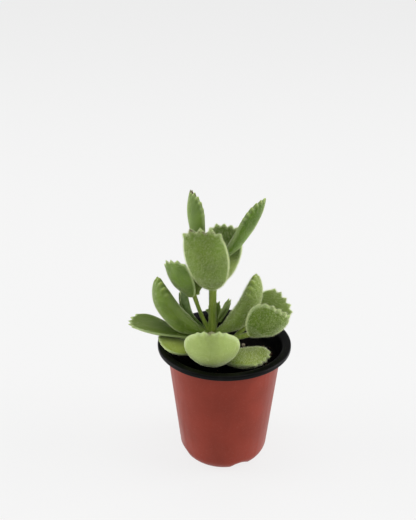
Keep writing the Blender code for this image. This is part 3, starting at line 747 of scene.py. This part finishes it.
leafSkin = {
    # rim: pale silver painted along the margin, partly painted sheen of hairs seen edge-on, partly the colour of
    # denser hair there
    "dark": (0.028, 0.072, 0.002), "rim": (0.520, 0.640, 0.300),
    "deep": (0.062, 0.132, 0.002), "fresh": (0.102, 0.198, 0.004), "inner": (0.050, 0.104, 0.003),
    "yellow": (0.260, 0.330, 0.015), "frost": (0.500, 0.620, 0.190), "margin": (0.390, 0.500, 0.080),
    "brown": (0.070, 0.035, 0.015), "stalk": (0.210, 0.290, 0.035),
    "cloud": (110.0, 3.0, 0.5, 0.32, 0.68), "mottle": (900.0, 2.0, 0.6, 0.42, 0.62), "mottleShare": 0.28,
    "blotch": (60.0, 2.0, 0.5, 0.35, 0.7, 0.4, 0.9), "dust": (1500.0, 4.0, 0.7, 0.38, 0.68, 0.5, 0.8),
    "innerShare": 0.75, "stalkShare": 0.7, "marginShare": 0.75, "paintedSheenShare": 0.7,
    "paleFootAlong": (0.62, 0.30), "stalkAlong": (0.16, 0.02), "marginTooth": (0.25, 0.95),  # smooth steps
    "brownAlong": (0.965, 0.995), "brownPatches": (380.0, 3.0, 0.5, 0.48, 0.60),
    "grain": (2600.0, 3.0, 0.6), "pores": (500.0, 2.0), "poreShare": 0.6, "bump": (0.00012, 0.7),
}


def stalkShape(leaf, along):  # 0 at the foot, then soon 1
    return min(along / leaf["stalkStart"], 1.0) ** 0.5


def leafOutline(leaf, along):  # half the blade's width at a share of its length
    peak = leaf["taper"] / (leaf["blunt"] + leaf["taper"])
    most = (1.0 - peak) ** leaf["blunt"] * peak ** leaf["taper"]
    blade = leaf["halfWidth"] * (1.0 - along) ** leaf["blunt"] * along ** leaf["taper"] / most
    stalk = leaf["stalkWidth"] * stalkShape(leaf, along) * (1.0 - along) ** 0.5
    return (blade ** 3 + stalk ** 3) ** (1 / 3)


def marginTurns(leaf):  # angle on the unit sphere, and how many notches and points lie between it and the tip
    angles = np.linspace(0.0, math.pi, 181)
    along = np.cos(angles / 2.0) ** 2
    side = [leafOutline(leaf, share) for share in along]
    steps = np.hypot(np.diff(along * leaf["length"]), np.diff(side))
    return angles, np.concatenate([[0.0], np.cumsum(steps)]) / leaf["toothPitch"]


def leafTooth(leaf, turn):  # 0 in a notch, 1 on a tooth's point
    if abs(turn) >= leaf["teeth"]:
        return 0.0
    point = 1.0 - abs((turn + leaf["teeth"]) % 2.0 - 1.0)
    return point ** leaf["toothPower"] * (1.0 - leaf["toothFade"] * (turn / leaf["teeth"]) ** 4)


def leafThickness(leaf, along, full):
    tip = (1.0 - along ** leaf["tipPower"]) ** leaf["tipRound"]
    body = full * tip * min(along / leaf["thickFrom"], 1.0) ** leaf["thickPower"]
    stalk = leaf["stalkDepth"] * stalkShape(leaf, along) * (1.0 - along)
    return (body ** 3 + stalk ** 3) ** (1 / 3)


def bendLeaf(leaf, x, y, z):
    y += leaf["sway"] * (x / leaf["length"]) ** 2
    curve = math.radians(leaf["bend"]) / leaf["length"]
    if abs(curve) < 1e-6:
        return Vector((x, y, z))
    radius = 1.0 / curve
    angle = x * curve
    return Vector(((radius - z) * math.sin(angle), y, radius - (radius - z) * math.cos(angle)))


def leafPoint(leaf, unit):  # a point of a unit sphere, poles on the two faces, goes to its place on the leaf
    angle = math.atan2(unit.y, unit.x)
    reach = min(math.hypot(unit.x, unit.y), 1.0)
    middle, isUpper = leaf["middle"], unit.z > 0
    marginAlong = math.cos(angle / 2.0) ** 2
    marginSide = math.copysign(leafOutline(leaf, marginAlong), angle)
    if abs(math.sin(angle)) < 1e-6:  # the foot and the tip
        marginSide = 0.0
    along = middle + (marginAlong - middle) * reach
    side = marginSide * reach
    half = middle if along < middle else 1.0 - middle
    spine = min(abs(along - middle) / half, 0.9999)
    crown = math.sqrt(max(1.0 - reach * reach, 0.0)) / math.sqrt(1.0 - spine * spine)
    lift = leafThickness(leaf, along, leaf["upper" if isUpper else "under"]) * min(crown, 1.0)
    turn = math.copysign(np.interp(abs(angle), *leaf["turns"]), angle)
    tooth = leafTooth(leaf, turn)
    if abs(turn) < leaf["teeth"]:
        rise = easeIn(reach, leaf["ridgeStart"], leaf["ridgeRun"]) * (1.0 - reach ** leaf["ridgeEnd"])
        lift += leaf["ridge"] * abs(tooth - leaf["ridgeLevel"]) * rise
    if reach > 0.9999:  # the margin, where both faces meet
        lift = 0.0
    outward = Vector((leaf["length"] * (marginAlong - middle), marginSide)).normalized()
    push = leaf["tooth"] * tooth * reach ** leaf["toothReach"]
    foot = leaf["footReach"] * (1.0 - along) ** leaf["footPower"]
    x = leaf["length"] * along + push * outward.x - foot
    y = side + push * outward.y
    cup = leaf["cup"] * leaf["halfWidth"] * (side / leaf["halfWidth"]) ** 2 * along
    # the margin band that gets the painted pale sheen rim and extra hairs
    sheenAndHairRim = easeIn(reach, leaf["rimStart"], leaf["rimRun"]) * leaf["rim"]
    tone = (along, sheenAndHairRim, tooth * reach ** leaf["ridgeEnd"], float(isUpper))
    return bendLeaf(leaf, x, y, cup + (lift if isUpper else -lift)), tone, reach


def makeLeafMaterial():
    skin, tree, shader = startMaterial("leafSkin", {
        "Roughness": 0.62, "Specular IOR Level": 0.28, "Subsurface Weight": 0.12, "Subsurface Scale": 0.002,
        "Subsurface Radius": (0.6, 1.0, 0.3), "Sheen Weight": 1.0, "Sheen Roughness": 0.30,
        "Sheen Tint": (0.88, 1.0, 0.60, 1.0)})
    place = objectPlace(tree)
    tone, look = (addNode(tree, "Attribute", attribute_name=name) for name in ("leafTone", "leafLook"))
    along, sheenAndHairRim, tooth = addNode(tree, "SeparateColor", {"Color": tone.outputs["Color"]}).outputs
    frost, yellow, brown = addNode(tree, "SeparateColor", {"Color": look.outputs["Color"]}).outputs
    upper, paleFoot = tone.outputs["Alpha"], look.outputs["Alpha"]

    def patch(name):
        return pattern(tree, place, *leafSkin[name])

    burnt = times(tree, brown, spread(tree, along, *leafSkin["brownAlong"]))
    layers = [  # what each colour covers, from the lowest layer up
        ("dark", times(tree, patch("mottle"), leafSkin["mottleShare"])),
        ("inner", times(tree, upper, leafSkin["innerShare"])),
        ("yellow", times(tree, yellow, patch("blotch"))),
        ("frost", times(tree, paleFoot, spread(tree, along, *leafSkin["paleFootAlong"]))),
        ("stalk", times(tree, spread(tree, along, *leafSkin["stalkAlong"]), leafSkin["stalkShare"])),
        ("frost", times(tree, frost, patch("dust"))),
        ("margin", times(tree, spread(tree, tooth, *leafSkin["marginTooth"]), leafSkin["marginShare"])),
        # painted sheen: a pale rim along the margin, partly the paler colour of denser hair
        ("rim", times(tree, sheenAndHairRim, leafSkin["paintedSheenShare"])),
        ("brown", times(tree, burnt, patch("brownPatches"))),
    ]
    colour = mixColours(tree, patch("cloud"), leafSkin["deep"], leafSkin["fresh"])
    for name, amount in layers:
        colour = mixColours(tree, amount, colour, leafSkin[name])
    tree.links.new(colour, shader.inputs["Base Color"])
    pores = times(tree, speckle(tree, place, *leafSkin["pores"]), leafSkin["poreShare"])
    addBump(tree, shader, plus(tree, speckle(tree, place, *leafSkin["grain"]), pores), *leafSkin["bump"])
    return skin


def makeLeaf(node, leaf, material, hairMaterial, seed):
    first, *others = node.split("_")
    name = first + "".join(word.capitalize() for word in others)
    shape = bmesh.new()
    toneLayer = shape.verts.layers.float_color.new("leafTone")  # along, margin band of painted sheen and extra hairs, tooth, upper face
    lookLayer = shape.verts.layers.float_color.new("leafLook")  # frost, yellow, brown, pale foot
    bmesh.ops.create_uvsphere(shape, u_segments=leaf["sides"], v_segments=leaf["rings"], radius=1.0)
    fixOrder(shape)
    place = (Matrix.Translation(Vector(leaf["foot"])) @ Matrix.Rotation(math.radians(leaf["heading"]), 4, "Z")
             @ Matrix.Rotation(math.radians(-leaf["rise"]), 4, "Y")
             @ Matrix.Rotation(math.radians(leaf["twist"]), 4, "X"))
    leaf["turns"] = marginTurns(leaf)
    reaches = []
    for vert in shape.verts:
        point, tone, reach = leafPoint(leaf, vert.co)
        reaches.append(reach)
        vert.co = (place @ point) * mm
        vert[toneLayer] = tone
        vert[lookLayer] = (leaf["frost"], leaf["yellow"], leaf["brown"], leaf["paleFoot"])
    bmesh.ops.recalc_face_normals(shape, faces=shape.faces)
    shape.normal_update()
    for vert, reach in zip(shape.verts, reaches):
        spot = vert.co / mm
        swell = sum(height * noise.noise(spot * pitch) for pitch, height in leaf["swells"])
        vert.co += vert.normal * swell * (1.0 - reach ** leaf["swellEnd"]) * mm
    mesh = meshOf(shape, name)
    finishPiece(name, mesh, node, [material], 0)
    # the margin band of painted sheen also gets rimHairs times more hairs
    sheenAndHairRim = np.array([item.color[1] for item in mesh.attributes["leafTone"].data])
    return addHairs("fuzz" + name[4:], mesh, node, hairMaterial, leaf["hairs"], leaf["hairLength"],
                    seed, 1.0 + leaf["rimHairs"] * sheenAndHairRim)


hairMaterial = makeHairMaterial()
makeStem(hairMaterial)
leafMaterial = makeLeafMaterial()
hairCount = 0
for number, (node, values) in enumerate(leaves.items()):
    seed = hairs["firstSeed"] + number
    hairCount += makeLeaf(node, {**leafCommon, **values}, leafMaterial, hairMaterial, seed)
print("leaves are made:", len(leaves), "with", hairCount, "hairs")
